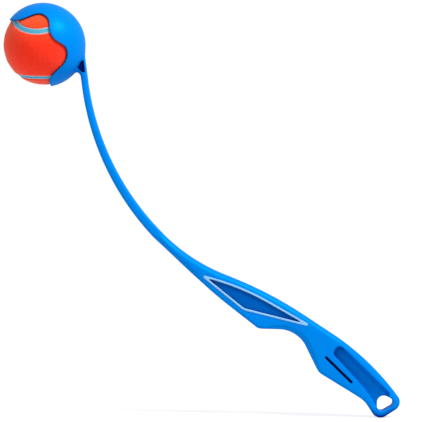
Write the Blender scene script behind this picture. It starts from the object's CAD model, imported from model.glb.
from math import atan2, cos, pi, radians, sin, sqrt, tan

import bmesh
import bpy
import numpy as np
from mathutils import Euler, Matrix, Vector


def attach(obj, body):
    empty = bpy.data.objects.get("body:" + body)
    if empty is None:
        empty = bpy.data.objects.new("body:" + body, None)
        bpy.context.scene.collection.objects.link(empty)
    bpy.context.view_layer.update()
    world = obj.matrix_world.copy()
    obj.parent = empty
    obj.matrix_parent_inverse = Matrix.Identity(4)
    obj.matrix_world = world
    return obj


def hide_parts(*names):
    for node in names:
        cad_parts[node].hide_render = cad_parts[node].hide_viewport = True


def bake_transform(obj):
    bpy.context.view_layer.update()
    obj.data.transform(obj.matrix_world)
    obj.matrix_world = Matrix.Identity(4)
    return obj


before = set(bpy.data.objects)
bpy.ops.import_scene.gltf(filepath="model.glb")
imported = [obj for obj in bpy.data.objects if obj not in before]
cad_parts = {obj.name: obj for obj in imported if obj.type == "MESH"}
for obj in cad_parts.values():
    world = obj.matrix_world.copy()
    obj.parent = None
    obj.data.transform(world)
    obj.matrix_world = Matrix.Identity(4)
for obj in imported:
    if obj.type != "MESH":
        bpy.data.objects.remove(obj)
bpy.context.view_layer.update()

# Looks of a dog ball launcher: a blue plastic arm with a hand grip, a thin shaft and a lobed cup that
# holds an orange felt ball. Sizes below are in millimetres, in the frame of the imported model: X from
# the cup to the tail, Z up, Y away from the side that the camera sees. Meshes are made in metres.

MM = 0.001

# Ball and cup. The edge is given on the near side, by the angle round the cup's axis from the top and
# the angle from the axis
BALL_RADIUS = 32.0
CUP_INNER_RADIUS = 32.2
CUP_WALL = 1.6
CUP_TILT = 30.5
CUP_EDGE = [(0, 113.2), (20, 111), (36, 105.5), (45.6, 95), (48.6, 80), (52, 69.3), (64, 63.9), (77, 67),
            (90, 71.4), (103, 68.8), (118, 62.8), (130.5, 67), (138.8, 80), (142.8, 95), (149, 103.5),
            (162, 108.8), (180, 110.7)]
LIP_ROUND = 0.5
LIP_BEVEL = 0.5
LIP_BEVEL_LENGTH = 2.5
UPPER_CLAW_ROOT = 52.0
LOWER_CLAW_ROOT = 80.5
CLAW_MARGIN = 1.0
CUP_EDGE_SAMPLES = 24
EDGE_TABLE_STEP = 0.25
EDGE_TABLE_MARGIN = 1.0

# Shaft
SHAFT_ROOT = np.array([-110.7, 72.8])
SHAFT_ROOT_HEADING = 134.0
SHAFT_BEND_RADIUS = 215.0
SHAFT_SWEEP = 36.6
SHAFT_ROOT_THICKNESS, SHAFT_TIP_THICKNESS = 7.6, 5.3
SHAFT_ROOT_WIDTH, SHAFT_TIP_WIDTH = 14.0, 11.0
SHAFT_EDGE_ROUND = 2.4
SHAFT_END_IN_NECK = 6.0
SHARE_PAST_ROOT = 0.2
ROOT_BLEND = 2.5

# Neck
NECK_START = -1.0
NECK_DROP = 1.8
NECK_INSET = 1.9
NECK_CROTCH_HEIGHT = 15.4
NECK_CROTCH_ROUND = 5.0
NECK_FOOT_ANGLE = 27.0
NECK_EDGE_ROUND = SHAFT_EDGE_ROUND
NECK_FILLET = 1.3
POCKET_BACK_WALL = 1.4
POCKET_START_HEIGHT = 9.1
POCKET_END_HEIGHT = 18.8
POCKET_SLANT = 46.0
POCKET_FLOOR = 2.0
POCKET_WEB = 1.6
POCKET_ROUND = 0.6
POCKET_FLOOR_FILLET = 0.5
POCKET_EDGE_ROUND = 0.4

# Handle. An outline's corners are given by X, Z and the radius of their rounding
GRIP_WIDTH, TAIL_WIDTH = 22.0, 13.0
GRIP_AXIS_DROP = 33.0
FRONT_TAPER_LENGTH = 42.0
TAIL_TAPER_START, TAIL_TAPER_END = 36.0, 82.0
BELLY_EDGE_ROUND = 3.0
TOP_EDGE_ROUND = 4.6
SCOOP_EDGE_ROUND = 5.5
SCOOP_MIDDLE = np.array([3.0, -9.0])
SCOOP_REACH = 15.0
TOP_ROUND_END = 2.4
SCOOP_ROUND_END = 2.0
TOP_CORNERS = [(-85.5, 52.2, 144.0), (-20.4, 26.4, 315.0), (60.6, -27.0, 203.0)]
TAIL_CORNERS = [(87.8, -63.9, 7.6), (66.3, -77.2, 8.0), (55.5, -60.6, 24.0)]
FINGER_CORNERS = [(18.7, -37.6, 8.0), (2.0, -3.6, 25.0), (-29.8, -2.4, 8.0)]
BELLY_CORNERS = [(-63.2, 23.7, 360.0), (-87.5, 45.9, 182.0)]
HOLE_CORNERS = [(66.1, -71.0, 3.4), (66.1, -54.2, 5.4), (83.3, -61.4, 3.6)]
HOLE_EDGE_ROUND = 1.2
HANDLE_IN_SHAFT = 15.0
# Region below the handle's top line, whose other sides lie well past the handle
BELOW_TOP_CORNERS = ([(-150.0, 100.0, 0.0)] + TOP_CORNERS + TAIL_CORNERS[:1]
                     + [(60.0, -110.0, 0.0), (-150.0, -110.0, 0.0)])

# Badge panel
BADGE_CORNERS = [(-78.0, 41.9, 1.2), (-41.5, 31.3, 200.0), (16.9, -2.1, 1.2), (-41.9, 12.7, 11.6)]
BADGE_TIP_ROUND = 0.5
RIM_WIDTH = 1.6
RIM_HEIGHT = 0.5
RIM_ROOT_DEPTH = 0.6
RIM_POINT_STEP = 0.4
# Share of the rim's width and drop below its top, across the rim
RIM_PROFILE = [(0.0, 0.35), (0.1, 0.12), (0.35, 0.0), (0.65, 0.0), (0.9, 0.12), (1.0, 0.35)]
BADGE_DEPTH = 1.8

# Hollowed side and groove
HOLLOW_CORNERS = [(34.0, -14.0, 4.0), (76.2, -55.0, 3.0), (68.5, -67.5, 0.5), (64.6, -64.5, 2.0),
                  (57.0, -52.3, 110.0), (30.0, -22.5, 4.0)]
HOLLOW_DEPTH = 5.0
HOLLOW_FLOOR_FILLET = 1.5
HOLLOW_EDGE_ROUND = 1.4
GROOVE_FRONT, GROOVE_REAR = (24.5, -25.4), (44.8, -45.3)
GROOVE_WIDTH = 2.0
GROOVE_DEPTH = 6.0
GROOVE_EDGE_ROUND = 0.4

# Ball
SEAM_SHAPE = 0.195
SEAM_WIDTH = 5.2
SEAM_CORE_WIDTH = 3.4
SEAM_RECESS = 0.65
SEAM_CROWN = 0.18
SEAM_UNDER_FELT = 0.3
SEAM_STRIP = 0.3
SEAM_MIDDLE_STRIP = 0.6
SEAM_EDGE_STRIP = 0.2
SEAM_PIECES = 480
SEAM_SAMPLES = 2880
SEAM_STEP = 0.002
FELT_EDGE_ROUND = 0.9
FELT_UNDERCUT = 0.3
FELT_INSET = 0.1
FELT_SUBDIVISIONS = 7
LUMP_SCALES = (9, 23, 60, 130, 210)
LUMP_WAVES = 9
LUMP_SIZE = 0.05 / 3
BALL_YAW, BALL_PITCH, BALL_ROLL = 152.6, 38.8, -120.7

# Camera and floor
CAMERA = (-58.5, -1400.0, 92.0)
SENSOR_WIDTH = 36.0
FRAME_WIDTH = 359.0
LAUNCHER_MIDDLE = (-60.0, 90.0)
FLOOR_Z = -74.4
FLOOR_SIDE = 3000.0
FLOOR_FRONT, FLOOR_BACK = -2500.0, 3000.0

# Glow of the floor as the camera sees it, near the launcher and far from it, its share of what shows,
# and the distances in metres between which it grows
GLOW_SHARE = 0.43
GLOW_NEAR, GLOW_FAR = 1.7, 2.1
GLOW_START, GLOW_END = 0.4, 2.0

# Light: the lamps' directions and distance from the cup and their sizes in metres, their power, and
# the room's light
LAMP_DISTANCE = 1.6
KEY_DIRECTION = (0.6, -0.40, 0.68)
KEY_SIZE = 0.35
KEY_POWER = 27.0
FILL_DIRECTION = (-0.8, -0.6, -0.05)
FILL_SIZE = 1.0
FILL_POWER = 6.5
AMBIENT = 0.42

# Colours of the felt from its fibres' shades to its deep corners, and the heights over the ball's
# centre, in radii, between which it turns to its top's colour
FELT_RED = (0.98, 0.018, 0.004)
FELT_BRIGHT = (1.0, 0.034, 0.008)
FELT_TOP = (1.0, 0.10, 0.016)
FELT_DEEP = (0.16, 0.004, 0.002)
FELT_SHEEN = (1.0, 0.55, 0.4)
FELT_FADE = (-0.1, 1.0)

# How far off, in metres, other surfaces darken a corner, and the shares of red, green and blue that are
# left in the plastic's deepest corners
PLASTIC_CORNER, FELT_CORNER = 0.010, 0.004
DEEP_SHARES = (1.0, 0.05, 0.35)

# Mesh fineness: cells of the skin, blocks of cells, and the box that the skin lies in
VOXEL = 0.55
BLOCK = 8
BLOCK_REACH = 1.05
BLOCKS_AT_ONCE = 400
ID_SPAN = 4096
SURFACE_MOVES = 3
SLOPE_STEP = 0.02
SKIN_LOW = np.array([-240.0, -36.0, -80.0])
SKIN_HIGH = np.array([92.0, 36.0, 264.0])

# Where each part of the arm's field counts: behind an X, above a height on the neck, near the cup
FEATURES_START = -92.0
NECK_FIELD_START = -8.0
CUP_FIELD_REACH = 46.0


# Plane shapes as signed distances, in the XZ plane

def heading(angle):
    """Direction in the XZ plane, by its angle up from X."""
    return np.array([cos(radians(angle)), sin(radians(angle))])


def corner_turn(points, i):
    """Directions from a corner to its two neighbours, and half the angle between them."""
    to_last = points[i - 1] - points[i]
    to_next = points[(i + 1) % len(points)] - points[i]
    to_last = to_last / np.linalg.norm(to_last)
    to_next = to_next / np.linalg.norm(to_next)
    half = np.arccos(np.clip(to_last @ to_next, -1, 1)) / 2
    return to_last, to_next, half


def anticlockwise(corners):
    """An outline's corner points and its corners, both in anticlockwise order."""
    points = [np.array(c[:2], float) for c in corners]
    area = sum(a[0] * b[1] - a[1] * b[0] for a, b in zip(points, points[1:] + points[:1]))
    if area < 0:
        return points[::-1], corners[::-1]
    return points, corners


def outline(corners):
    """Lines and arcs of a closed outline with rounded corners, running anticlockwise."""
    points, corners = anticlockwise(corners)
    starts, ends, arcs = [], [], []
    for i, corner in enumerate(corners):
        to_last, to_next, half = corner_turn(points, i)
        reach = corner[2] / tan(half)
        starts.append(points[i] + to_last * reach)
        ends.append(points[i] + to_next * reach)
        if corner[2]:
            middle = to_last + to_next
            middle = middle / np.linalg.norm(middle)
            centre = points[i] + middle * (corner[2] / sin(half))
            convex = (-to_last[0]) * to_next[1] + to_last[1] * to_next[0] > 0
            arcs.append((centre, corner[2], -middle, cos(pi / 2 - half), convex))
    lines = [(ends[i], starts[(i + 1) % len(points)]) for i in range(len(points))]
    return lines, arcs


def signed_distance(shape, x, z):
    """Distance to an outline, negative inside."""
    lines, arcs = shape
    best = np.full(x.shape, 1e9)
    side = np.full(x.shape, 1e9)
    for a, b in lines:
        along = b - a
        length = np.linalg.norm(along)
        if length < 1e-9:
            continue
        along = along / length
        dx, dz = x - a[0], z - a[1]
        t = np.clip(dx * along[0] + dz * along[1], 0, length)
        away = dz * along[0] - dx * along[1]
        distance = np.hypot(dx - t * along[0], dz - t * along[1])
        nearer = (distance < best - 1e-7) | ((distance < best + 1e-7) & (np.abs(away) > np.abs(side)))
        best = np.where(nearer, distance, best)
        side = np.where(nearer, -away, side)
    for centre, radius, middle, spread, convex in arcs:
        dx, dz = x - centre[0], z - centre[1]
        length = np.maximum(np.hypot(dx, dz), 1e-9)
        inside_sweep = (dx * middle[0] + dz * middle[1]) > spread * length
        away = length - radius if convex else radius - length
        nearer = inside_sweep & (np.abs(away) < best)
        best = np.where(nearer, np.abs(away), best)
        side = np.where(nearer, away, side)
    return np.where(side > 0, best, -best)


def inset(corners, distance):
    """An outline's corners moved inwards."""
    points = [np.array(c[:2], float) for c in corners]
    moved = []
    for i, corner in enumerate(corners):
        to_last, to_next, half = corner_turn(points, i)
        middle = to_last + to_next
        place = points[i] + middle / np.linalg.norm(middle) * (distance / sin(half))
        moved.append((place[0], place[1], max(corner[2] - distance, BADGE_TIP_ROUND)))
    return moved


# Joining and cutting solids given as signed distances, with a rounded edge

def round_max(a, b, radius):
    corner = np.hypot(np.maximum(a + radius, 0), np.maximum(b + radius, 0))
    return np.minimum(np.maximum(a, b), -radius) + corner


def round_min(a, b, radius):
    corner = np.hypot(np.maximum(radius - a, 0), np.maximum(radius - b, 0))
    return np.maximum(np.minimum(a, b), radius) - corner


def smoothstep(t):
    t = np.clip(t, 0, 1)
    return t * t * (3 - 2 * t)


# Places that follow from the sizes

BEND_CENTRE = SHAFT_ROOT + heading(SHAFT_ROOT_HEADING - 90) * SHAFT_BEND_RADIUS
TIP_UP = heading(SHAFT_ROOT_HEADING - SHAFT_SWEEP)
TIP_FRONT = heading(SHAFT_ROOT_HEADING - SHAFT_SWEEP + 90)
SHAFT_TIP = BEND_CENTRE + TIP_FRONT * SHAFT_BEND_RADIUS
CUP_OUTER_RADIUS = CUP_INNER_RADIUS + CUP_WALL
CUP_FRONT = CUP_OUTER_RADIUS - NECK_INSET - SHAFT_TIP_THICKNESS / 2
CUP_RISE = CUP_OUTER_RADIUS + NECK_DROP
CUP_CENTRE = SHAFT_TIP + TIP_UP * CUP_RISE + TIP_FRONT * CUP_FRONT
CUP_AXIS = heading(CUP_TILT)
CUP_UP = heading(CUP_TILT + 90)
BALL_CENTRE = np.array([CUP_CENTRE[0], 0, CUP_CENTRE[1]])
GRIP_AXIS = heading(-GRIP_AXIS_DROP)


def handle_outline():
    """The handle's outline, which runs on into the shaft at its front."""
    across = heading(SHAFT_ROOT_HEADING - 90) * (SHAFT_ROOT_THICKNESS / 2)
    top, bottom = SHAFT_ROOT + across, SHAFT_ROOT - across
    run_top = top - np.array(TOP_CORNERS[0][:2])
    run_bottom = bottom - np.array(BELLY_CORNERS[-1][:2])
    top = top + run_top / np.linalg.norm(run_top) * HANDLE_IN_SHAFT
    bottom = bottom + run_bottom / np.linalg.norm(run_bottom) * HANDLE_IN_SHAFT
    return outline([(*top, 0)] + TOP_CORNERS + TAIL_CORNERS + FINGER_CORNERS + BELLY_CORNERS + [(*bottom, 0)])


HANDLE = handle_outline()
BELOW_TOP = outline(BELOW_TOP_CORNERS)
HOLE = outline(HOLE_CORNERS)
BADGE = outline(inset(BADGE_CORNERS, RIM_WIDTH))
HOLLOW = outline(HOLLOW_CORNERS)


def neck_outlines():
    """The neck's outline and its pocket's, by distance in front of the shaft's tip and above it."""
    back, front = -SHAFT_TIP_THICKNESS / 2, SHAFT_TIP_THICKNESS / 2
    foot_front = CUP_FRONT - CUP_INNER_RADIUS * sin(radians(NECK_FOOT_ANGLE))
    foot_up = CUP_RISE - CUP_INNER_RADIUS * cos(radians(NECK_FOOT_ANGLE))
    block = outline([(back, NECK_START, 0), (back, CUP_RISE, 0), (foot_front, foot_up, 0),
                     (front, NECK_CROTCH_HEIGHT, NECK_CROTCH_ROUND), (front, NECK_START, 0)])
    wall = back + POCKET_BACK_WALL
    slant = (POCKET_END_HEIGHT - POCKET_START_HEIGHT) / tan(radians(POCKET_SLANT))
    pocket = outline([(wall, POCKET_START_HEIGHT, POCKET_ROUND),
                      (wall + POCKET_FLOOR, POCKET_START_HEIGHT, POCKET_ROUND),
                      (wall + POCKET_FLOOR + slant, POCKET_END_HEIGHT, 0),
                      (wall, POCKET_END_HEIGHT, POCKET_ROUND)])
    return block, pocket


NECK, NECK_POCKET = neck_outlines()


def shaft_places(x, z):
    """Degrees up the bend from the handle, and distance outwards from the centre line."""
    dx, dz = x - BEND_CENTRE[0], z - BEND_CENTRE[1]
    angle = np.degrees(np.arctan2(dz, dx))
    sweep = (SHAFT_ROOT_HEADING + 90 - angle + 180) % 360 - 180
    return sweep, np.hypot(dx, dz) - SHAFT_BEND_RADIUS


def side_level(x, z):
    """Half width of the handle."""
    along = x * GRIP_AXIS[0] + z * GRIP_AXIS[1]
    start = SHAFT_ROOT @ GRIP_AXIS
    front = smoothstep((along - start) / FRONT_TAPER_LENGTH)
    rear = smoothstep((along - TAIL_TAPER_START) / (TAIL_TAPER_END - TAIL_TAPER_START))
    width = SHAFT_ROOT_WIDTH + (GRIP_WIDTH - SHAFT_ROOT_WIDTH) * front
    return (width - (GRIP_WIDTH - TAIL_WIDTH) * rear) / 2


def grip_edge_round(x, z):
    """Rounding of the handle's long edges: large along the top, larger in the finger scoop. Each fades
    out at its own number of roundings below the top and of reaches from the scoop."""
    from_top = -signed_distance(BELOW_TOP, x, z)
    near_top = smoothstep(TOP_ROUND_END - from_top / TOP_EDGE_ROUND)
    from_scoop = np.hypot(x - SCOOP_MIDDLE[0], z - SCOOP_MIDDLE[1])
    near_scoop = smoothstep(SCOOP_ROUND_END - from_scoop / SCOOP_REACH)
    low = BELLY_EDGE_ROUND + (SCOOP_EDGE_ROUND - BELLY_EDGE_ROUND) * near_scoop
    return low + (TOP_EDGE_ROUND - low) * near_top


def straight_level(point):
    """Half width of the handle with straight tapers, as its solid has."""
    along = point[0] * GRIP_AXIS[0] + point[1] * GRIP_AXIS[1]
    share = min(max((along - TAIL_TAPER_START) / (TAIL_TAPER_END - TAIL_TAPER_START), 0), 1)
    return (GRIP_WIDTH + (TAIL_WIDTH - GRIP_WIDTH) * share) / 2


def handle_field(x, y, z):
    """Handle and shaft with nothing cut into them, without the neck and the cup. y is the distance from
    the mid-plane."""
    sweep, outwards = shaft_places(x, z)
    share = np.clip(sweep / SHAFT_SWEEP, -SHARE_PAST_ROOT, 1)
    thickness = SHAFT_ROOT_THICKNESS + (SHAFT_TIP_THICKNESS - SHAFT_ROOT_THICKNESS) * share
    shaft = np.abs(outwards) - thickness / 2
    past_tip = (sweep - SHAFT_SWEEP) * radians(SHAFT_BEND_RADIUS) - SHAFT_END_IN_NECK
    shaft = np.maximum(shaft, past_tip)
    shaft_level = (SHAFT_ROOT_WIDTH + (SHAFT_TIP_WIDTH - SHAFT_ROOT_WIDTH) * share) / 2
    handle = signed_distance(HANDLE, x, z)
    on_handle = smoothstep(0.5 - sweep / ROOT_BLEND)
    flat = shaft + (handle - shaft) * on_handle
    level = shaft_level + (side_level(x, z) - shaft_level) * on_handle
    edge = SHAFT_EDGE_ROUND + (grip_edge_round(x, z) - SHAFT_EDGE_ROUND) * on_handle
    return round_max(flat, y - level, edge)


def handle_features(body, x, y, z):
    """The badge's pocket, the hollow, the groove and the hanging hole, cut into the body."""
    pocket = np.maximum(signed_distance(BADGE, x, z), GRIP_WIDTH / 2 - BADGE_DEPTH - y)
    body = np.maximum(body, -pocket)
    floor = side_level(x, z) - HOLLOW_DEPTH
    hollow = round_max(signed_distance(HOLLOW, x, z), floor - y, HOLLOW_FLOOR_FILLET)
    body = round_max(body, -hollow, HOLLOW_EDGE_ROUND)
    gx, gz = x - GROOVE_FRONT[0], z - GROOVE_FRONT[1]
    run = np.array(GROOVE_REAR) - np.array(GROOVE_FRONT)
    length = np.linalg.norm(run)
    run = run / length
    t = np.clip(gx * run[0] + gz * run[1], 0, length)
    groove = np.hypot(gx - t * run[0], gz - t * run[1]) - GROOVE_WIDTH / 2
    groove = np.maximum(groove, straight_level(GROOVE_REAR) - GROOVE_DEPTH - y)
    body = round_max(body, -groove, GROOVE_EDGE_ROUND)
    return round_max(body, -signed_distance(HOLE, x, z), HOLE_EDGE_ROUND)


def neck_field(x, y, z):
    """The neck with a pocket in its side. y is the distance from the mid-plane."""
    dx, dz = x - SHAFT_TIP[0], z - SHAFT_TIP[1]
    front = dx * TIP_FRONT[0] + dz * TIP_FRONT[1]
    up = dx * TIP_UP[0] + dz * TIP_UP[1]
    flat = signed_distance(NECK, front, up)
    neck = round_max(flat, y - SHAFT_TIP_WIDTH / 2, NECK_EDGE_ROUND)
    pocket = round_max(signed_distance(NECK_POCKET, front, up), POCKET_WEB / 2 - y,
                       POCKET_FLOOR_FILLET)
    return round_max(neck, -pocket, POCKET_EDGE_ROUND)


# Cup's edge, as a table of distances over half of the sphere

def periodic_spline(points, per_span):
    """Smooth closed curve through points, sampled."""
    points = np.array(points, float)
    count = len(points)
    spans = np.linalg.norm(np.roll(points, -1, 0) - points, axis=1)
    matrix = np.zeros((count, count))
    right = np.zeros(points.shape)
    for i in range(count):
        before, after = spans[i - 1], spans[i]
        matrix[i, i - 1] += after
        matrix[i, i] += 2 * (before + after)
        matrix[i, (i + 1) % count] += before
        slope_before = (points[i] - points[i - 1]) / before
        slope_after = (points[(i + 1) % count] - points[i]) / after
        right[i] = 3 * (after * slope_before + before * slope_after)
    slopes = np.linalg.solve(matrix, right)
    curve = []
    for i in range(count):
        j = (i + 1) % count
        for k in range(per_span):
            t = k / per_span
            h = spans[i]
            curve.append((2 * t**3 - 3 * t**2 + 1) * points[i] + (t**3 - 2 * t**2 + t) * h * slopes[i]
                         + (3 * t**2 - 2 * t**3) * points[j] + (t**3 - t**2) * h * slopes[j])
    return np.array(curve)


def on_sphere(around, away):
    """Unit vector with parts up, sideways and along the cup's axis."""
    around, away = np.radians(around), np.radians(away)
    return np.stack([np.cos(around) * np.sin(away), np.sin(around) * np.sin(away), np.cos(away)], -1)


def cup_edge_table():
    """Distances to the cup's edge on a unit sphere, by the angle round the cup's axis and from it."""
    whole = CUP_EDGE + [(360 - around, away) for around, away in CUP_EDGE[-2:0:-1]]
    curve = periodic_spline([on_sphere(*p) for p in whole], CUP_EDGE_SAMPLES)
    curve = curve / np.linalg.norm(curve, axis=1)[:, None]
    along = np.roll(curve, -1, 0) - np.roll(curve, 1, 0)
    along = along / np.linalg.norm(along, axis=1)[:, None]
    outwards = np.cross(along, curve)
    around = np.arange(-EDGE_TABLE_MARGIN, 180 + EDGE_TABLE_MARGIN + EDGE_TABLE_STEP / 2, EDGE_TABLE_STEP)
    away = np.arange(0, 180 + EDGE_TABLE_STEP / 2, EDGE_TABLE_STEP)
    table = np.zeros((len(around), len(away)))
    for i, a in enumerate(around):
        points = on_sphere(np.full(len(away), a), away)
        near = points @ curve.T
        best = near.argmax(1)
        offset = points - curve[best]
        sideways = (offset * outwards[best]).sum(1)
        lengthways = (offset * along[best]).sum(1)
        distance = np.sqrt(np.maximum((offset**2).sum(1) - lengthways**2, 0))
        table[i] = np.where(sideways > 0, distance, -distance)
    if table[0, 0] > 0:
        table = -table
    return table


EDGE_TABLE = cup_edge_table()


def cup_field(x, y, z):
    """The cup's shell with a round lip, and the distance from the cup's centre."""
    dx, dz = x - CUP_CENTRE[0], z - CUP_CENTRE[1]
    radius = np.sqrt(dx * dx + y * y + dz * dz)
    axial = (dx * CUP_AXIS[0] + dz * CUP_AXIS[1]) / np.maximum(radius, 1e-9)
    up = dx * CUP_UP[0] + dz * CUP_UP[1]
    away = np.degrees(np.arccos(np.clip(axial, -1, 1)))
    around = np.degrees(np.arctan2(y, up))
    i = np.clip((around + EDGE_TABLE_MARGIN) / EDGE_TABLE_STEP, 0, EDGE_TABLE.shape[0] - 1.001)
    j = np.clip(away / EDGE_TABLE_STEP, 0, EDGE_TABLE.shape[1] - 1.001)
    i0, j0 = i.astype(int), j.astype(int)
    fi, fj = i - i0, j - j0
    edge = ((EDGE_TABLE[i0, j0] * (1 - fi) + EDGE_TABLE[i0 + 1, j0] * fi) * (1 - fj)
            + (EDGE_TABLE[i0, j0 + 1] * (1 - fi) + EDGE_TABLE[i0 + 1, j0 + 1] * fi) * fj)
    past_edge = edge * CUP_OUTER_RADIUS
    inner = CUP_INNER_RADIUS + LIP_BEVEL * smoothstep(1 + past_edge / LIP_BEVEL_LENGTH)
    shell = np.maximum(radius - CUP_OUTER_RADIUS, inner - radius)
    return round_max(shell, past_edge, LIP_ROUND), radius


def launcher_field(points):
    """Signed distance to the whole plastic arm, in millimetres."""
    x, y, z = points[:, 0], np.abs(points[:, 1]), points[:, 2]
    body = handle_field(x, y, z)
    rear = x > FEATURES_START
    body[rear] = handle_features(body[rear], x[rear], y[rear], z[rear])
    up = (x - SHAFT_TIP[0]) * TIP_UP[0] + (z - SHAFT_TIP[1]) * TIP_UP[1]
    top = up > NECK_FIELD_START
    body[top] = np.minimum(body[top], neck_field(x[top], y[top], z[top]))
    near_cup = np.hypot(x - CUP_CENTRE[0], z - CUP_CENTRE[1]) < CUP_FIELD_REACH
    cup, radius = cup_field(x[near_cup], y[near_cup], z[near_cup])
    joined = round_min(body[near_cup], cup, NECK_FILLET)
    body[near_cup] = np.maximum(joined, CUP_INNER_RADIUS - radius)
    return body


# Skin of a signed distance: one vertex in each cell that the surface crosses, moved onto the surface

CELL_CORNERS = np.array([(i, j, k) for i in (0, 1) for j in (0, 1) for k in (0, 1)])


def gradient(field, points):
    """The field's slope at points."""
    parts = []
    for axis in range(3):
        shift = np.zeros(3)
        shift[axis] = SLOPE_STEP
        parts.append((field(points + shift) - field(points - shift)) / (2 * SLOPE_STEP))
    return np.stack(parts, 1)


def busy_blocks(field, low, high):
    """Blocks of cells that the surface may cross."""
    size = VOXEL * BLOCK
    counts = np.ceil((high - low) / size).astype(int)
    grid = np.stack(np.meshgrid(*[np.arange(n) for n in counts], indexing="ij"), -1).reshape(-1, 3)
    centres = low + (grid + 0.5) * size
    return grid[np.abs(field(centres)) < size * BLOCK_REACH]


def crossing_middles(value, b, i, j, k):
    """Mean place, within each cell, of the points where the surface crosses the cell's edges."""
    at = [value[b, i + c[0], j + c[1], k + c[2]] for c in CELL_CORNERS]
    weight = np.zeros(len(b))
    place = np.zeros((len(b), 3))
    for p in range(8):
        for q in range(p + 1, 8):
            if np.abs(CELL_CORNERS[p] - CELL_CORNERS[q]).sum() != 1:
                continue
            cut = (at[p] < 0) != (at[q] < 0)
            t = np.where(cut, at[p] / np.where(cut, at[p] - at[q], 1), 0)
            point = CELL_CORNERS[p] + t[:, None] * (CELL_CORNERS[q] - CELL_CORNERS[p])
            place += point * cut[:, None]
            weight += cut
    return place / weight[:, None]


def cell_number(cells):
    return (cells[..., 0] * ID_SPAN + cells[..., 1]) * ID_SPAN + cells[..., 2]


def crossing_quads(inside, blocks):
    """The numbers of the four cells around each grid line that the surface crosses, for each direction."""
    quads = []
    for axis in range(3):
        step, u, v = np.roll(np.eye(3, dtype=int), -axis, 0)
        first = inside[:, :BLOCK, :BLOCK, :BLOCK]
        second = inside[:, step[0]:step[0] + BLOCK, step[1]:step[1] + BLOCK, step[2]:step[2] + BLOCK]
        b, i, j, k = np.nonzero(first != second)
        base = blocks[b] * BLOCK + np.stack([i, j, k], 1)
        ring = np.stack([base, base - u, base - u - v, base - v], 1)
        flip = ~first[b, i, j, k]
        ring[flip] = ring[flip][:, ::-1]
        quads.append(cell_number(ring))
    return quads


def onto_surface(field, points):
    """Points moved onto the surface along the field's slope, by at most half a cell at a time."""
    for _ in range(SURFACE_MOVES):
        slope = gradient(field, points)
        size = np.maximum((slope**2).sum(1), 0.05)
        move = -field(points)[:, None] * slope / size[:, None]
        points = points + np.clip(move, -VOXEL / 2, VOXEL / 2)
    return points


def skin(field, low, high):
    """Vertices and quads of the surface where the field is zero."""
    blocks = busy_blocks(field, low, high)
    side = BLOCK + 1
    local = np.stack(np.meshgrid(*[np.arange(side)] * 3, indexing="ij"), -1).reshape(-1, 3)
    numbers, points, quads = [], [], []
    for start in range(0, len(blocks), BLOCKS_AT_ONCE):
        part = blocks[start:start + BLOCKS_AT_ONCE]
        corners = part[:, None, :] * BLOCK + local[None]
        value = field(low + corners.reshape(-1, 3) * VOXEL).reshape(len(part), side, side, side)
        inside = value < 0
        eight = [inside[:, i:i + BLOCK, j:j + BLOCK, k:k + BLOCK] for i, j, k in CELL_CORNERS]
        total = sum(e.astype(np.int8) for e in eight)
        b, i, j, k = np.nonzero((total > 0) & (total < 8))
        cells = part[b] * BLOCK + np.stack([i, j, k], 1)
        numbers.append(cell_number(cells))
        points.append(low + (cells + crossing_middles(value, b, i, j, k)) * VOXEL)
        quads += crossing_quads(inside, part)
    numbers, points, quads = (np.concatenate(found) for found in (numbers, points, quads))
    order = np.argsort(numbers)
    numbers, points = numbers[order], points[order]
    found = np.clip(np.searchsorted(numbers, quads), 0, len(numbers) - 1)
    found = found[(numbers[found] == quads).all(1)]
    return onto_surface(field, points), found


def new_mesh(name, points, faces):
    """Mesh object from points in millimetres."""
    mesh = bpy.data.meshes.new(name)
    mesh.from_pydata((np.asarray(points) * MM).tolist(), [], [list(map(int, f)) for f in faces])
    mesh.update()
    made = bpy.data.objects.new(name, mesh)
    bpy.context.scene.collection.objects.link(made)
    return made


def shade_by_field(piece, field):
    """Smooth shading with the normals of the true surface."""
    mesh = piece.data
    mesh.polygons.foreach_set("use_smooth", np.ones(len(mesh.polygons), bool))
    points = np.zeros(len(mesh.vertices) * 3)
    mesh.vertices.foreach_get("co", points)
    normals = gradient(field, points.reshape(-1, 3) / MM)
    normals = normals / np.maximum(np.linalg.norm(normals, axis=1)[:, None], 1e-9)
    mesh.normals_split_custom_set_from_vertices(normals.tolist())


# Materials

def material(name):
    """New material, with its nodes, its links and its shader."""
    made = bpy.data.materials.new(name)
    made.use_nodes = True
    nodes = made.node_tree.nodes
    shader = nodes["Principled BSDF"]
    return made, nodes, made.node_tree.links, shader


def noise(nodes, links, scale, detail, coordinates):
    node = nodes.new("ShaderNodeTexNoise")
    node.inputs["Scale"].default_value = scale
    node.inputs["Detail"].default_value = detail
    links.new(coordinates, node.inputs["Vector"])
    return node.outputs["Fac"]


def map_range(nodes, links, value, low, high, from_low=0.0, from_high=1.0):
    node = nodes.new("ShaderNodeMapRange")
    node.inputs["From Min"].default_value = from_low
    node.inputs["From Max"].default_value = from_high
    node.inputs["To Min"].default_value = low
    node.inputs["To Max"].default_value = high
    links.new(value, node.inputs["Value"])
    return node.outputs["Result"]


def bump(nodes, links, height, strength, distance, shader):
    node = nodes.new("ShaderNodeBump")
    node.inputs["Strength"].default_value = strength
    node.inputs["Distance"].default_value = distance
    links.new(height, node.inputs["Height"])
    links.new(node.outputs["Normal"], shader.inputs["Normal"])


def mixed(nodes, links, share, first, second):
    """Colour between two, of which each is a plain colour or another node's output."""
    node = nodes.new("ShaderNodeMix")
    node.data_type = "RGBA"
    links.new(share, node.inputs["Factor"])
    for socket, colour in (("A", first), ("B", second)):
        if isinstance(colour, tuple):
            node.inputs[socket].default_value = (*colour, 1)
        else:
            links.new(colour, node.inputs[socket])
    return node.outputs["Result"]


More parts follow.
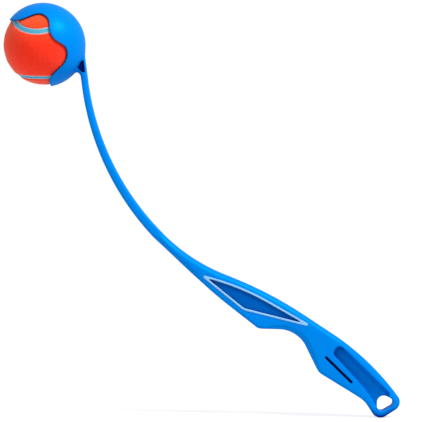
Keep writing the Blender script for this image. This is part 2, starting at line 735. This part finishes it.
def darker_in_corners(nodes, links, colour, deep, reach):
    """A colour that turns deeper where other surfaces close it in."""
    node = nodes.new("ShaderNodeAmbientOcclusion")
    node.samples = 8
    node.inputs["Distance"].default_value = reach
    share = map_range(nodes, links, node.outputs["AO"], 1, 0, from_low=0.25, from_high=0.95)
    return mixed(nodes, links, share, colour, deep)


def plastic(name, light, dark, roughness, gloss, pearl):
    """Moulded plastic with a fine grain and a faint change of colour and gloss. Pearl is how much of its
    gloss has the plastic's own colour."""
    made, nodes, links, shader = material(name)
    place = nodes.new("ShaderNodeTexCoord").outputs["Object"]
    blotches = noise(nodes, links, scale=22, detail=3, coordinates=place)
    share = map_range(nodes, links, blotches, 0, 1, from_low=0.35, from_high=0.65)
    deep = tuple(left * part for left, part in zip(DEEP_SHARES, dark))
    colour = darker_in_corners(nodes, links, mixed(nodes, links, share, light, dark), deep, PLASTIC_CORNER)
    links.new(colour, shader.inputs["Base Color"])
    rough = map_range(nodes, links, blotches, roughness - 0.03, roughness + 0.05)
    links.new(rough, shader.inputs["Roughness"])
    grain = noise(nodes, links, scale=2600, detail=2, coordinates=place)
    bump(nodes, links, grain, strength=0.12, distance=0.00012, shader=shader)
    shader.inputs["Metallic"].default_value = pearl
    shader.inputs["Specular IOR Level"].default_value = 0.02
    shader.inputs["Specular Tint"].default_value = (*gloss, 1)
    return made


def felt():
    """Orange felt that turns lighter towards the top of the ball."""
    made, nodes, links, shader = material("orange_felt")
    place = nodes.new("ShaderNodeTexCoord").outputs["Object"]
    fibres = noise(nodes, links, scale=1500, detail=6, coordinates=place)
    tufts = noise(nodes, links, scale=240, detail=4, coordinates=place)
    share = map_range(nodes, links, fibres, 0, 1, from_low=0.3, from_high=0.7)
    body = mixed(nodes, links, share, FELT_RED, FELT_BRIGHT)
    split = nodes.new("ShaderNodeSeparateXYZ")
    links.new(place, split.inputs[0])
    low, high = (BALL_CENTRE[2] + part * BALL_RADIUS for part in FELT_FADE)
    share = map_range(nodes, links, split.outputs["Z"], 0, 1, from_low=low * MM, from_high=high * MM)
    faded = mixed(nodes, links, share, body, FELT_TOP)
    colour = darker_in_corners(nodes, links, faded, FELT_DEEP, FELT_CORNER)
    links.new(colour, shader.inputs["Base Color"])
    shader.inputs["Roughness"].default_value = 0.95
    shader.inputs["Specular IOR Level"].default_value = 0.15
    shader.inputs["Sheen Weight"].default_value = 0.6
    shader.inputs["Sheen Roughness"].default_value = 0.5
    shader.inputs["Sheen Tint"].default_value = (*FELT_SHEEN, 1)
    add = nodes.new("ShaderNodeMath")
    add.operation = "ADD"
    links.new(fibres, add.inputs[0])
    links.new(tufts, add.inputs[1])
    bump(nodes, links, add.outputs[0], strength=0.3, distance=0.0005, shader=shader)
    return made


def rubber(name, colour, roughness):
    """Rubber with a fine grain, some of it a little darker."""
    made, nodes, links, shader = material(name)
    place = nodes.new("ShaderNodeTexCoord").outputs["Object"]
    grain = noise(nodes, links, scale=900, detail=4, coordinates=place)
    darker = tuple(c * 0.85 for c in colour)
    links.new(mixed(nodes, links, grain, darker, colour), shader.inputs["Base Color"])
    shader.inputs["Roughness"].default_value = roughness
    shader.inputs["Specular IOR Level"].default_value = 0.25
    bump(nodes, links, grain, strength=0.3, distance=0.0002, shader=shader)
    return made


BLUE = plastic("blue_plastic", light=(0.0, 0.220, 0.76), dark=(0.0, 0.207, 0.72), roughness=0.44,
               gloss=(0.1, 0.75, 1.0), pearl=0.12)
PALE_BLUE = plastic("rim_plastic", light=(0.26, 0.55, 0.90), dark=(0.23, 0.51, 0.86), roughness=0.40,
                    gloss=(1.0, 1.0, 1.0), pearl=0.0)
DARK_BLUE = plastic("badge_plastic", light=(0.0, 0.105, 0.46), dark=(0.0, 0.09, 0.42), roughness=0.42,
                    gloss=(0.15, 0.7, 1.0), pearl=0.12)
FELT = felt()
CYAN = rubber("seam_cyan", (0.07, 0.40, 0.58), roughness=0.65)
GREY = rubber("seam_border", (0.56, 0.50, 0.53), roughness=0.65)
CORE = rubber("core_rubber", (0.04, 0.04, 0.04), roughness=0.7)


# Launcher

# The claws' bodies, the directions of their root planes from the cup's centre, and which way they go on
CLAWS = (("upper_claw", CUP_TILT + UPPER_CLAW_ROOT, 1), ("lower_claw", CUP_TILT - LOWER_CLAW_ROOT, -1))


def at(point, y=0.0):
    """A place in metres, from one in the XZ plane in millimetres."""
    return (point[0] * MM, y * MM, point[1] * MM)


def in_cup(point):
    """Whether a place in metres lies within the cup's ball or just outside it."""
    x, y, z = point.x / MM, point.y / MM, point.z / MM
    reach = CUP_OUTER_RADIUS + CLAW_MARGIN
    return (x - CUP_CENTRE[0])**2 + y**2 + (z - CUP_CENTRE[1])**2 < reach**2


def cup_faces(mesh, *directions):
    """Faces of the cup whose middles lie ahead of the cup's centre in every direction."""
    centre = Vector(at(CUP_CENTRE))
    found = []
    for face in mesh.faces:
        middle = face.calc_center_median()
        if in_cup(middle) and all((middle - centre).dot(direction) > 0 for direction in directions):
            found.append(face)
    return found


def split_claws(whole):
    """Cuts the cup's skin along the claws' root planes and takes each claw off as its own object."""
    pieces = []
    for body, angle, upwards in CLAWS:
        along, across = heading(angle), heading(angle + 90 * upwards)
        out = Vector((along[0], 0, along[1]))
        into = Vector((across[0], 0, across[1]))
        mesh = bmesh.new()
        mesh.from_mesh(whole.data)
        near = cup_faces(mesh, out)
        around = set(near) | {e for f in near for e in f.edges} | {v for f in near for v in f.verts}
        bmesh.ops.bisect_plane(mesh, geom=list(around), dist=1e-7, plane_co=at(CUP_CENTRE), plane_no=into)
        claw = mesh.copy()
        bmesh.ops.delete(mesh, geom=cup_faces(mesh, out, into), context="FACES")
        mesh.to_mesh(whole.data)
        mesh.free()
        kept = set(cup_faces(claw, out, into))
        bmesh.ops.delete(claw, geom=[f for f in claw.faces if f not in kept], context="FACES")
        pieces.append(object_from(claw, body + "_skin"))
    return pieces


def object_from(mesh, name):
    """Object that takes over a mesh under construction."""
    data = bpy.data.meshes.new(name)
    mesh.to_mesh(data)
    mesh.free()
    made = bpy.data.objects.new(name, data)
    bpy.context.scene.collection.objects.link(made)
    return made


def outline_points(corners, step):
    """Points along a rounded outline, with short steps on its arcs and longer ones between."""
    fewest_on_arc, straight_step = 4, 4 * step
    lines, _ = outline(corners)
    points, ordered = anticlockwise(corners)
    found = []
    for i, corner in enumerate(ordered):
        to_last, to_next, half = corner_turn(points, i)
        middle = (to_last + to_next) / np.linalg.norm(to_last + to_next)
        centre = points[i] + middle * (corner[2] / sin(half))
        turn = pi - 2 * half
        count = max(int(corner[2] * turn / step), fewest_on_arc)
        first = atan2(*(points[i] + to_last * corner[2] / tan(half) - centre)[::-1])
        for k in range(count + 1):
            angle = first + turn * k / count
            found.append(centre + corner[2] * np.array([cos(angle), sin(angle)]))
        start, end = lines[i]
        count = max(int(np.linalg.norm(end - start) / straight_step), 1)
        for k in range(1, count):
            found.append(start + (end - start) * k / count)
    return np.array(found)


def badge_rim(side):
    """Raised bead around the badge's pocket, on one side of the grip."""
    outer = outline_points(BADGE_CORNERS, RIM_POINT_STEP)
    inner = move_onto(BADGE, outer)
    high = GRIP_WIDTH / 2 + RIM_HEIGHT
    bead = [(share, high - drop) for share, drop in RIM_PROFILE]
    profile = [(0.0, GRIP_WIDTH / 2 - RIM_ROOT_DEPTH)] + bead + [(1.0, GRIP_WIDTH / 2 - BADGE_DEPTH)]
    rows = []
    for share, level in profile:
        flat = outer + (inner - outer) * share
        rows.append(np.stack([flat[:, 0], np.full(len(flat), side * level), flat[:, 1]], 1))
    count = len(outer)
    faces = []
    for r in range(len(profile) - 1):
        for i in range(count):
            j = (i + 1) % count
            ring = (r * count + i, r * count + j, (r + 1) * count + j, (r + 1) * count + i)
            faces.append(ring if side < 0 else ring[::-1])
    made = new_mesh("badge_rim_near" if side < 0 else "badge_rim_far", np.concatenate(rows), faces)
    made.data.polygons.foreach_set("use_smooth", np.ones(len(made.data.polygons), bool))
    made.data.materials.append(PALE_BLUE)
    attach(made, "handle")


def move_onto(line, points):
    """Points moved squarely onto an outline, a share of the way at a time."""
    moves, share, step = 12, 0.8, 0.01
    moved = points.copy()
    for _ in range(moves):
        x, z = moved[:, 0], moved[:, 1]
        value = signed_distance(line, x, z)
        slope_x = (signed_distance(line, x + step, z) - signed_distance(line, x - step, z)) / (2 * step)
        slope_z = (signed_distance(line, x, z + step) - signed_distance(line, x, z - step)) / (2 * step)
        size = np.maximum(slope_x**2 + slope_z**2, 0.3)
        moved = moved - share * value[:, None] * np.stack([slope_x, slope_z], 1) / size[:, None]
    return moved


def launcher():
    """The plastic arm as one skin that bends with the shaft, and its two claws."""
    points, quads = skin(launcher_field, SKIN_LOW, SKIN_HIGH)
    arm = new_mesh("launcher_skin", points, quads)
    claws = split_claws(arm)
    for piece in [arm] + claws:
        piece.data.materials.append(BLUE)
        shade_by_field(piece, launcher_field)
    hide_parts("handle_grip", "hang_loop", "shaft_lower", "shaft_upper", "neck_fork", "cup_bowl")
    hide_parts("cup_claw_upper")
    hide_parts("cup_claw_lower")
    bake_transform(arm)
    for piece, (body, angle, upwards) in zip(claws, CLAWS):
        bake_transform(piece)


# Ball

BALL_TURN = np.array(Euler((radians(BALL_ROLL), radians(BALL_PITCH), radians(BALL_YAW)), "XYZ").to_matrix())


def seam_curve(t):
    """Points on a unit sphere along the seam's middle."""
    a, b = 1 - SEAM_SHAPE, SEAM_SHAPE
    curve = np.stack([a * np.cos(t) + b * np.cos(3 * t), a * np.sin(t) - b * np.sin(3 * t),
                      2 * sqrt(a * b) * np.sin(2 * t)], -1)
    return curve @ BALL_TURN.T


def lumps(directions):
    """Soft unevenness of felt, from a few waves that cross each other."""
    height = np.zeros(len(directions))
    source = np.random.default_rng(7)
    for scale in LUMP_SCALES:
        for _ in range(LUMP_WAVES):
            wave = source.normal(size=3)
            wave = wave / np.linalg.norm(wave) * scale
            height += LUMP_SIZE * np.sin(directions @ wave + source.uniform(0, 2 * pi))
    return height


def felt_points(directions):
    """Places of the felt's points, with its edges turned down at the seam, and which ones lie in the seam."""
    curve = seam_curve(np.linspace(0, 2 * pi, SEAM_SAMPLES, endpoint=False))
    best = np.concatenate([(part @ curve.T).argmax(1) for part in np.array_split(directions, 80)])
    nearest = curve[best]
    level = (directions * nearest).sum(1)
    away = np.arccos(np.clip(level, -1, 1)) * BALL_RADIUS
    border = SEAM_WIDTH / 2 - FELT_UNDERCUT
    outwards = directions - nearest * level[:, None]
    outwards = outwards / np.maximum(np.linalg.norm(outwards, axis=1)[:, None], 1e-9)
    on_border = nearest * cos(border / BALL_RADIUS) + outwards * sin(border / BALL_RADIUS)
    inside = away < border
    directions = np.where(inside[:, None], on_border, directions)
    past_edge = np.clip((np.maximum(away, border) - border) / FELT_EDGE_ROUND, 0, 1)
    dip = FELT_EDGE_ROUND * (1 - np.sqrt(1 - (1 - past_edge)**2))
    radius = BALL_RADIUS - FELT_INSET - dip + lumps(directions) * past_edge
    return BALL_CENTRE + directions * radius[:, None], inside


def joined_to(start):
    """Numbers of the vertices that edges join to one."""
    front = [start]
    joined = {start.index}
    while front:
        found = []
        for v in front:
            for e in v.link_edges:
                other = e.other_vert(v)
                if other.index not in joined:
                    joined.add(other.index)
                    found.append(other)
        front = found
    return joined


def felt_panels():
    """The felt cover, in the two panels that the seam parts."""
    mesh = bmesh.new()
    bmesh.ops.create_icosphere(mesh, subdivisions=FELT_SUBDIVISIONS, radius=1)
    points, inside = felt_points(np.array([v.co for v in mesh.verts]))
    for v, point in zip(mesh.verts, points):
        v.co = Vector(point * MM)
    mesh.verts.ensure_lookup_table()
    gone = [f for f in mesh.faces if all(inside[v.index] for v in f.verts)]
    bmesh.ops.delete(mesh, geom=gone, context="FACES")
    side = BALL_TURN @ np.array([0, 0, 1.0])
    panels = []
    for name, sign in (("felt_panel_front", 1), ("felt_panel_back", -1)):
        panel = mesh.copy()
        panel.verts.index_update()
        panel.verts.ensure_lookup_table()
        middle = max(panel.verts, key=lambda v: (np.array(v.co) / MM - BALL_CENTRE) @ side * sign)
        kept = joined_to(middle)
        bmesh.ops.delete(panel, geom=[v for v in panel.verts if v.index not in kept], context="VERTS")
        made = object_from(panel, name)
        made.data.polygons.foreach_set("use_smooth", np.ones(len(made.data.polygons), bool))
        made.data.materials.append(FELT)
        panels.append(made)
    mesh.free()
    return panels


def seam_band():
    """Band along the seam: a cyan core between two pale borders, a little crowned."""
    count = SEAM_PIECES
    t = np.arange(count) * 2 * pi / count
    middle = seam_curve(t)
    along = seam_curve(t + SEAM_STEP) - seam_curve(t - SEAM_STEP)
    along = along / np.linalg.norm(along, axis=1)[:, None]
    sideways = np.cross(middle, along)
    half = SEAM_WIDTH / 2 + SEAM_UNDER_FELT
    core = SEAM_CORE_WIDTH / 2
    one_side = [SEAM_MIDDLE_STRIP, core - SEAM_STRIP, core, core + SEAM_STRIP, half - SEAM_EDGE_STRIP, half]
    stations = [-s for s in reversed(one_side)] + [0] + one_side
    rows = []
    for s in stations:
        angle = s / BALL_RADIUS
        radius = BALL_RADIUS - SEAM_RECESS + SEAM_CROWN * (1 - (s / half)**2)
        rows.append(BALL_CENTRE + (middle * cos(angle) + sideways * sin(angle)) * radius)
    points = np.concatenate(rows)
    faces = []
    for r in range(len(stations) - 1):
        for i in range(count):
            j = (i + 1) % count
            faces.append((r * count + i, r * count + j, (r + 1) * count + j, (r + 1) * count + i))
    band = new_mesh("seam_band", points, faces)
    band.data.materials.append(CYAN)
    band.data.materials.append(GREY)
    for k, face in enumerate(band.data.polygons):
        row = k // count
        face.use_smooth = True
        middle_of_row = (stations[row] + stations[row + 1]) / 2
        face.material_index = 1 if abs(middle_of_row) > core else 0
    band.data.update()
    return band


def ball():
    """The ball's cover and seam, which turn and leave with the ball."""
    panels = felt_panels()
    band = seam_band()
    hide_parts("ball_felt_front")
    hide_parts("ball_felt_back")
    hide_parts("ball_seam")
    for piece in panels + [band]:
        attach(piece, "ball")


def dress_cad_nodes():
    """Materials for the pieces that keep the shape of their solids."""
    for name, made in (("badge_plate_near", DARK_BLUE), ("badge_plate_far", DARK_BLUE),
                       ("ball_core_near", CORE), ("ball_core_far", CORE)):
        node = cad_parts[name]
        node.data.materials.clear()
        node.data.materials.append(made)


# Studio

def lamp(name, direction, size, power):
    """Square soft box that stands in a direction from the cup and faces the launcher's middle."""
    data = bpy.data.lights.new(name, "AREA")
    data.shape = "SQUARE"
    data.size = size
    data.energy = power
    made = bpy.data.objects.new(name, data)
    bpy.context.scene.collection.objects.link(made)
    made.location = Vector(at(CUP_CENTRE)) + Vector(direction).normalized() * LAMP_DISTANCE
    made.rotation_mode = "QUATERNION"
    made.rotation_quaternion = (Vector(at(LAUNCHER_MIDDLE)) - made.location).to_track_quat("-Z", "Y")


def studio():
    """White floor with the launcher's shadow, a white room, two soft lamps and plain colours."""
    floor = new_mesh("floor", [(-FLOOR_SIDE, FLOOR_FRONT, FLOOR_Z), (FLOOR_SIDE, FLOOR_FRONT, FLOOR_Z),
                               (FLOOR_SIDE, FLOOR_BACK, FLOOR_Z), (-FLOOR_SIDE, FLOOR_BACK, FLOOR_Z)],
                     [(0, 1, 2, 3)])
    made, nodes, links, shader = material("floor_white")
    shader.inputs["Base Color"].default_value = (0.8, 0.8, 0.8, 1)
    shader.inputs["Roughness"].default_value = 0.9
    shader.inputs["Specular IOR Level"].default_value = 0.0
    glow = nodes.new("ShaderNodeEmission")
    away = nodes.new("ShaderNodeVectorMath")
    away.operation = "LENGTH"
    links.new(nodes.new("ShaderNodeTexCoord").outputs["Object"], away.inputs[0])
    strength = map_range(nodes, links, away.outputs["Value"], GLOW_NEAR, GLOW_FAR, GLOW_START, GLOW_END)
    links.new(strength, glow.inputs["Strength"])
    mix = nodes.new("ShaderNodeMixShader")
    links.new(seen(nodes, links, 0.0, GLOW_SHARE), mix.inputs[0])
    links.new(shader.outputs[0], mix.inputs[1])
    links.new(glow.outputs[0], mix.inputs[2])
    links.new(mix.outputs[0], nodes["Material Output"].inputs["Surface"])
    floor.data.materials.append(made)

    world = bpy.data.worlds.new("studio_world")
    bpy.context.scene.world = world
    world.use_nodes = True
    nodes, links = world.node_tree.nodes, world.node_tree.links
    ground = nodes["Background"]
    ground.inputs["Color"].default_value = (1, 1, 1, 1)
    links.new(seen(nodes, links, AMBIENT, 1.0), ground.inputs["Strength"])

    lamp("key", KEY_DIRECTION, KEY_SIZE, KEY_POWER)
    lamp("fill", FILL_DIRECTION, FILL_SIZE, FILL_POWER)
    bpy.context.scene.view_settings.view_transform = "Standard"


def seen(nodes, links, otherwise, in_view):
    """One value for what the camera, a reflection or a clear part shows, and another for the light that
    falls on the object."""
    path = nodes.new("ShaderNodeLightPath")
    first = nodes.new("ShaderNodeMath")
    first.operation = "MAXIMUM"
    links.new(path.outputs["Is Camera Ray"], first.inputs[0])
    links.new(path.outputs["Is Glossy Ray"], first.inputs[1])
    second = nodes.new("ShaderNodeMath")
    second.operation = "MAXIMUM"
    links.new(first.outputs[0], second.inputs[0])
    links.new(path.outputs["Is Transmission Ray"], second.inputs[1])
    return map_range(nodes, links, second.outputs[0], otherwise, in_view)


def camera():
    """Level camera that looks along Y at the launcher from the photograph's distance."""
    data = bpy.data.cameras.new("camera")
    made = bpy.data.objects.new("camera", data)
    bpy.context.scene.collection.objects.link(made)
    made.location = [c * MM for c in CAMERA]
    made.rotation_euler = (pi / 2, 0, 0)
    data.sensor_width = SENSOR_WIDTH
    data.lens = SENSOR_WIDTH * abs(CAMERA[1]) / FRAME_WIDTH
    data.clip_start, data.clip_end = 0.05, 20
    bpy.context.scene.camera = made


camera()
launcher()
ball()
dress_cad_nodes()
badge_rim(-1)
badge_rim(1)
studio()
